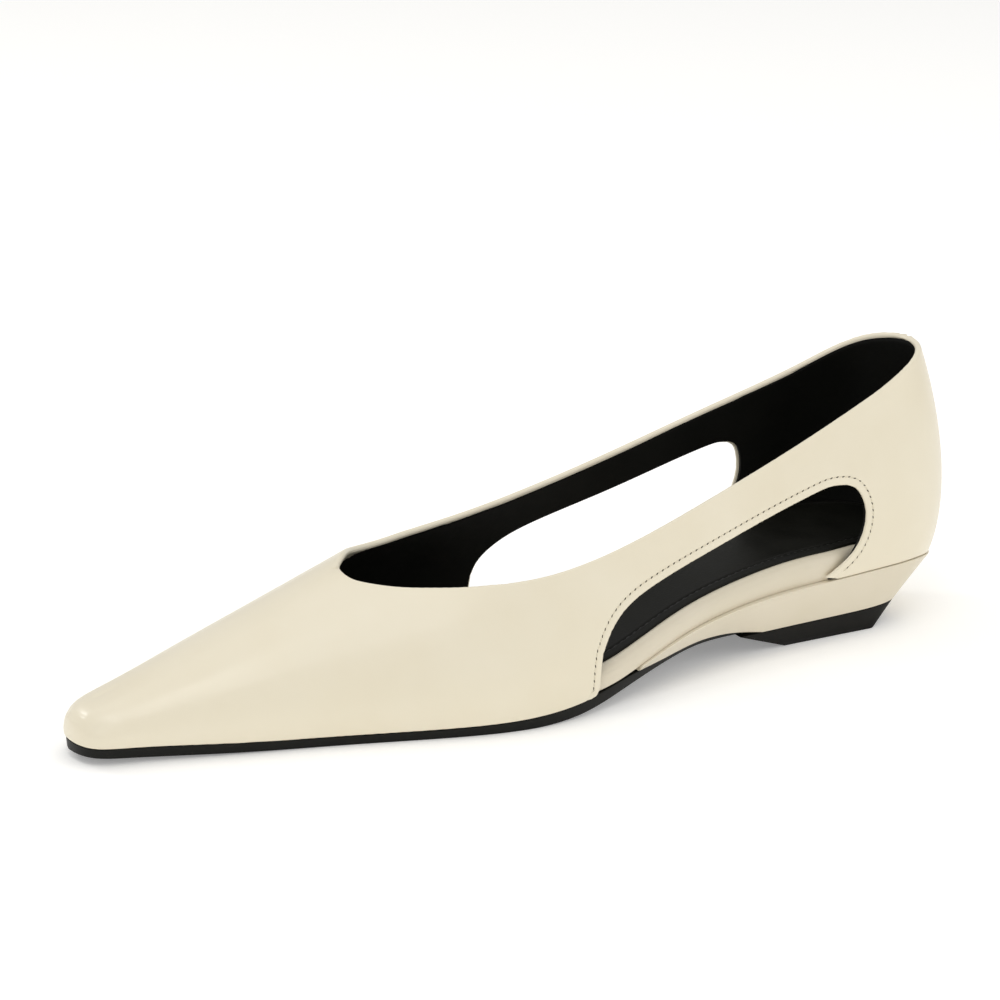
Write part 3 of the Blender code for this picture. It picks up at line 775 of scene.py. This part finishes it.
def plateGrid(plate, columns, rows, ease=0.2):
    station = plateStations(plate, columns // 2, ease)
    low, high = -plateHalf(station, lateral, plate), plateHalf(station, medial, plate)
    spread = (1 + np.sin(math.pi / 2 * np.linspace(-1, 1, rows + 1))) / 2
    y = low[:, None] + (high - low)[:, None] * spread[None]
    return np.broadcast_to(station[:, None], y.shape), y


def plateDistance(station, y, outline):
    tree = KDTree(len(outline))
    for i, (a, b) in enumerate(outline):
        tree.insert((a, b, 0), i)
    tree.balance()
    flat = [tree.find((a, b, 0))[2] for a, b in zip(station.ravel(), y.ravel())]
    return np.array(flat).reshape(station.shape)


def plateMesh(name, plate, topHeight, bottomHeight, profile, columns=170, rows=96, wallRows=5,
              bottomStep=8):
    station, y = plateGrid(plate, columns, rows)
    edge = plateDistance(station, y, plateOutline(plate))
    top = np.stack([station, y, topHeight(station) + profile(edge)], -1)
    bottom = np.stack([station, y, bottomHeight(station)], -1)[:, ::bottomStep]
    bm = bmesh.new()
    addGrid(bm, top)
    addGrid(bm, bottom)
    for row in (0, -1):
        shares = even(wallRows)[None, :, None]
        wall = top[:, row][:, None] * (1 - shares) + bottom[:, row][:, None] * shares
        bulge = np.sin(math.pi * even(wallRows)) * plate.get("bulge", 0.0)
        wall[..., 1] += bulge[None] * (-1 if row == 0 else 1)
        addGrid(bm, wall)
    bmesh.ops.remove_doubles(bm, verts=bm.verts, dist=weldGap / 2)
    bmesh.ops.dissolve_degenerate(bm, edges=bm.edges, dist=weldGap / 10)
    bmesh.ops.recalc_face_normals(bm, faces=bm.faces)
    return meshFrom(name, bm)


footbed = {"start": 10.4, "end": 252.0, "inset": 2.6, "openOut": 1.2, "edge": 2.4, "bulge": 0.25}


def footbedTop(station):
    return feather(station) + footbedThickness(station)


# The footbed wears the wrap leather, whose deeper colour is painted shade
footbedPiece = makePiece("footbed_wrap", plateMesh(
    "footbed_wrap", footbed, footbedTop, feather, lambda edge: -rolled(edge, footbed["edge"]),
), shadedCreamWrap, "footbed")

sock = {
    "start": 13.4, "end": 249.6, "inset": 5.0, "openOut": 1.0, "edge": 0.3, "rows": 168,
    "gap": 0.1, "thick": 0.95, "sunk": 0.35,  # over the footbed, and how far the underside reaches down
    "seamInset": 2.6, "groove": 0.4, "grooveWidth": 0.38, "fall": 0.5,
    "seamEnds": (10.0, 3.0),                  # how far the seam stays from toe and heel
}


def sockProfile(edge):
    margin = np.clip(1 - edge / sock["seamInset"], 0, 1)
    groove = sock["groove"] * np.exp(-((edge - sock["seamInset"]) / sock["grooveWidth"]) ** 2)
    return -rolled(edge, sock["edge"]) - groove - sock["fall"] * margin ** 2


def sockTop(station):
    return footbedTop(station) + sock["gap"] + sock["thick"]


makePiece("sock_leather", plateMesh(
    "sock_leather", sock, sockTop, lambda station: footbedTop(station) + sock["gap"] - sock["sunk"],
    sockProfile, rows=sock["rows"],
), blackSock, "sock")

sockSeam = {
    "pitch": 2.3, "start": 0.5,
    "thread": {
        "length": 1.7, "width": 0.45, "height": 0.34, "lift": 0.03, "sink": 0.2,
        "square": 2.5, "slant": 0.0,
    },
}
outline = plateOutline(sock)
closed = np.concatenate([outline, outline[:1]])
direction = unit(np.gradient(closed, axis=0))
inward = np.stack([-direction[:, 1], direction[:, 0]], -1)
inner = closed + inward * sock["seamInset"]
seamStart, seamEnd = sock["start"] + sock["seamEnds"][0], sock["end"] - sock["seamEnds"][1]
inner = inner[(inner[:, 0] > seamStart) & (inner[:, 0] < seamEnd)]
path = np.concatenate([inner, sockTop(inner[:, 0])[:, None]], 1)
places, tangents = evenSteps(sockSeam["pitch"], sockSeam["start"], path, unit(np.gradient(path, axis=0)))
tangents = unit(tangents)
upright = np.array([0.0, 0.0, 1.0])
normals = unit(np.cross(np.cross(tangents, upright), tangents))
places = places - normals * sock["groove"]
threads = beadMesh("sock_stitches", places, tangents, normals, sockSeam["thread"])
makePiece("sock_stitches", threads, blackThread)


# Under the foot: outsole, wedge and top piece

sole = {
    "start": 2.9, "end": 189.7, "flat": (68.0, 110.0), "columns": (70, 30, 60),
    "inset": 0.9, "taper": 0.5, "gap": 0.12, "rounds": (0.35, 0.25),
}
soleTable = stationTable(
    "station tread thick waist",
    (0, 2.4, 2.4, 0.0), (20, 1.2, 2.9, 0.0), (45, 0.3, 2.8, 0.0), (70, 0.0, 2.6, 0.0),
    (92, 0.0, 2.6, 0.0), (112, 0.0, 3.1, 0.0), (128, 1.2, 3.4, 0.2), (142, 4.0, 3.0, 1.4),
    (155, 6.2, 1.8, 3.2), (170, 7.5, 1.5, 5.2), (182, 6.95, 1.0, 6.0), (190, 6.46, 0.08, 6.4),
)


cornerTurns = {"low": (90, 60, 30, 0), "top": (0, 22, 45, 67, 90)}  # degrees round a side's two corners


def sideProfile(low, top, lowRound, topRound, rows):
    # up one side, from low to top, with both corners rounded
    low, top = np.array(low), np.array(top)
    length = np.linalg.norm(top - low)
    up = (top - low) / max(length, tiny)
    inward = np.array([0.0, -np.sign(top[1]) if top[1] else 1.0, 0.0])
    most = min(length / 2, abs(top[1]), abs(low[1]))
    lowRound, topRound = min(lowRound, most), min(topRound, most)

    def corner(place, rise, radius, degrees):
        angle = math.radians(degrees)
        return place + rise * radius * (1 - math.sin(angle)) + inward * radius * (1 - math.cos(angle))

    lowCorner = [corner(low, up, lowRound, degrees) for degrees in cornerTurns["low"]]
    wall = [low + up * (lowRound + (length - lowRound - topRound) * share) for share in even(rows)[1:-1]]
    topCorner = [corner(top, -up, topRound, degrees) for degrees in cornerTurns["top"]]
    return lowCorner + wall + topCorner


def sideRing(low, top, rounds, rows=5, crown=12):  # low and top are (station, half widths, height)
    sides = []
    for k, sign in enumerate((-1, 1)):
        foot, head = ((station, sign * halves[k], height) for station, halves, height in (low, top))
        sides.append(sideProfile(foot, head, *rounds, rows))
    left, right = sides
    over = [left[-1] + (right[-1] - left[-1]) * share for share in even(crown)[1:-1]]
    under = [right[0] + (left[0] - right[0]) * share for share in even(crown)[1:-1]]
    return left + over + right[::-1] + under


def bothHalves(station, inset):
    return [float(halfWidth(station, side) - archDraw(station, side)) - inset for side in (lateral, medial)]


def soleStations():
    start, (flatStart, flatEnd) = sole["start"], sole["flat"]
    frontCount, flatCount, waistCount = sole["columns"]
    front = start + (flatStart - start) * fromTip(even(frontCount), ease=0.15)
    flat = flatStart + (flatEnd - flatStart) * even(flatCount)
    waist = flatEnd + (sole["end"] - flatEnd) * even(waistCount)
    return np.concatenate([front, flat[1:], waist[1:]])


def soleHalf(station, side):
    plate = {"start": sole["start"], "end": last["seatEnd"], "inset": sole["inset"]}
    return max(float(plateHalf(station, side, plate)) - float(soleTable["waist"](station)), 0.0)


rings = []
for station in soleStations():
    onFloor = sole["flat"][0] <= station <= sole["flat"][1]
    tread = 0.0 if onFloor else max(float(soleTable["tread"](station)), 0.0)
    top = min(tread + float(soleTable["thick"](station)), float(feather(station)) - sole["gap"])
    half = [soleHalf(station, side) for side in (lateral, medial)]
    treadHalf = [max(value - sole["taper"], 0.0) for value in half]
    rings.append(sideRing((station, treadHalf, tread), (station, half, top), sole["rounds"]))
makePiece("outsole_rubber", loftMesh("outsole_rubber", rings), blackSole, "outsole")

heel = {  # raked block of top piece and wedge: its seat, and its outline on the floor
    "seatHeight": 18.0, "ledge": 0.35,
    "treadBack": 230.6, "treadMid": 226.5, "treadHalf": 18.5, "power": 4.0,
}


def heelOutline(share, height, front):  # raked sides of the heel, at a height between tread and seat
    up = min(height / heel["seatHeight"], 1.0)
    seatBack, power = last["seatEnd"] + heel["ledge"], heel["power"]
    tread, seat = front + (heel["treadBack"] - front) * share, front + (seatBack - front) * share
    treadRound = np.clip((tread - heel["treadMid"]) / (heel["treadBack"] - heel["treadMid"]), 0, 1)
    seatRound = np.clip((seat - last["seatMid"]) / (seatBack - last["seatMid"]), 0, 1)
    treadHalf = heel["treadHalf"] * (1 - treadRound ** power) ** (1 / power)
    seatHalf = [(float(sections[name](seat)) + heel["ledge"]) * math.sqrt(1 - seatRound ** last["seatPower"])
                for name in ("lateral", "medial")]
    return tread + (seat - tread) * up, [treadHalf + (half - treadHalf) * up for half in seatHalf]


lift = {"top": 6.4, "front": 183.5, "treadFront": 200.0, "columns": 70, "rounds": (0.3, 0.15)}
rings = []
for share in toBack(even(lift["columns"]), ease=0.12):
    lowStation, lowHalf = heelOutline(share, 0.0, lift["treadFront"])
    topStation, topHalf = heelOutline(share, lift["top"], lift["front"])
    rings.append(sideRing((lowStation, lowHalf, 0.0), (topStation, topHalf, lift["top"]), lift["rounds"]))
liftMesh = loftMesh("heel_top_piece", rings)
makePiece("heel_top_piece", liftMesh, blackLift, "heel_lift", sharpAngle=30)

wedge = {
    "tip": 145.0, "tipInset": 0.9, "tipRound": 1.4, "tipClose": 0.9, "thin": 0.4,
    "joinFrom": 172.0, "joint": 190.0,  # between these stations its foot runs into the heel's outline
    "columns": (60, 90), "rows": 7, "rounds": (0.2, 0.32),
}
rings = []
lowHeel = lift["top"] + sole["gap"]
for share in fromTip(even(wedge["columns"][0]), ease=0.3):
    station = wedge["tip"] + (wedge["joint"] - wedge["tip"]) * share
    top = float(feather(station)) - sole["gap"]
    soleTop = float(soleTable["tread"](station) + soleTable["thick"](station))
    low = min(soleTop + sole["gap"], top - wedge["thin"])
    tip = np.clip(1 - (station - wedge["tip"]) / wedge["tipRound"], 0, 1)
    closing = (top - low) / 2 * (1 - math.sqrt(1 - tip ** 2)) * wedge["tipClose"]
    half = bothHalves(station, wedge["tipInset"] * (1 - share) - heel["ledge"])
    foot = [value - float(soleTable["waist"](station)) for value in half]
    _, heelHalf = heelOutline(0.0, lowHeel, station)
    join = float(smoothStep(station, wedge["joinFrom"], wedge["joint"]))
    foot = [value * (1 - join) + heelValue * join for value, heelValue in zip(foot, heelHalf)]
    lowSide, topSide = (station, foot, low + closing), (station, half, top - closing)
    rings.append(sideRing(lowSide, topSide, wedge["rounds"], wedge["rows"]))
for share in toBack(even(wedge["columns"][1]), ease=0.12)[1:]:
    lowStation, lowHalf = heelOutline(share, lowHeel, wedge["joint"])
    topStation, topHalf = heelOutline(share, heel["seatHeight"], wedge["joint"])
    top = float(feather(topStation)) - sole["gap"]
    lowSide, topSide = (lowStation, lowHalf, lowHeel), (topStation, topHalf, top)
    rings.append(sideRing(lowSide, topSide, wedge["rounds"], wedge["rows"]))
# The wedge wears the wrap leather, whose deeper colour is painted shade
makePiece("wedge_cover", loftMesh("wedge_cover", rings), shadedCreamWrap, "heel_wedge")


# Studio: pale floor, soft light and the camera

studio = {
    "floor": "#f7f6f3", "floorHalf": 6.0, "floorRoughness": 0.9, "floorSheen": 0.1,
    "glow": "#ffffff", "floorGlow": 0.24, "world": "#ffffff", "worldStrength": 0.57,
}
bm = bmesh.new()
bmesh.ops.create_grid(bm, x_segments=1, y_segments=1, size=studio["floorHalf"])
floorMesh = meshFrom("floor", bm)
floor = bpy.data.objects.new("floor", floorMesh)
bpy.context.scene.collection.objects.link(floor)
# Opal acrylic table, sanded matt and lit evenly from below, as for cut-out product pictures
floorPaint = bpy.data.materials.new("opal acrylic table, lit from below")
floorPaint.use_nodes = True
floorShader = floorPaint.node_tree.nodes["Principled BSDF"]
floorShader.inputs["Base Color"].default_value = colour(studio["floor"])
floorShader.inputs["Roughness"].default_value = studio["floorRoughness"]
floorShader.inputs["Specular IOR Level"].default_value = studio["floorSheen"]
floorShader.inputs["Emission Color"].default_value = colour(studio["glow"])
floorShader.inputs["Emission Strength"].default_value = studio["floorGlow"]
floorMesh.materials.append(floorPaint)

world = bpy.data.worlds.new("studio")
world.use_nodes = True
background = world.node_tree.nodes["Background"]
background.inputs["Color"].default_value = colour(studio["world"])
background.inputs["Strength"].default_value = studio["worldStrength"]
bpy.context.scene.world = world

softboxes = {  # place (m), aim (m), size (m), power (W)
    "overhead": ((0.05, 0.25, 1.5), (0.0, 0.1, 0.0), (1.8, 1.6), 5.8),
    "strip": ((-0.38, -0.55, 1.35), (-0.38, -0.55, 0.0), (0.14, 0.95), 2.3),
    "toeSpot": ((-0.89, 1.31, 1.16), (-0.12, 0.0, 0.02), (0.3, 0.3), 3.6),
    "keyLeft": ((-1.1, -1.0, 0.9), (-0.02, 0.0, 0.02), (0.9, 0.7), 1.8),
    "fillRight": ((1.2, -0.9, 0.7), (0.05, 0.0, 0.03), (0.9, 0.9), 2.7),
}
for name, (place, aim, size, power) in softboxes.items():
    lamp = bpy.data.lights.new(name, "AREA")
    lamp.shape = "RECTANGLE"
    lamp.size, lamp.size_y = size
    lamp.energy = power
    box = bpy.data.objects.new(name, lamp)
    box.location = place
    box.rotation_euler = (Vector(aim) - Vector(place)).to_track_quat("-Z", "Y").to_euler()
    bpy.context.scene.collection.objects.link(box)

view = {
    "azimuth": -28.5, "elevation": 19.0, "distance": 0.8, "aim": (-0.0004, 0.0011, 0.030),
    "lens": 110.5, "sensor": 36.0, "shift": (-0.0265, 0.0626),
}
azimuth, elevation = math.radians(view["azimuth"]), math.radians(view["elevation"])
level = math.cos(elevation)
back = Vector((math.sin(azimuth) * level, -math.cos(azimuth) * level, math.sin(elevation)))
camera = bpy.data.objects.new("camera", bpy.data.cameras.new("camera"))
camera.data.lens, camera.data.sensor_width = view["lens"], view["sensor"]
camera.data.shift_x, camera.data.shift_y = view["shift"]
camera.location = Vector(view["aim"]) + back * view["distance"]
camera.rotation_euler = (-back).to_track_quat("-Z", "Y").to_euler()
bpy.context.scene.collection.objects.link(camera)
bpy.context.scene.camera = camera
bpy.context.scene.view_settings.view_transform = "Standard"
print("studio ready")
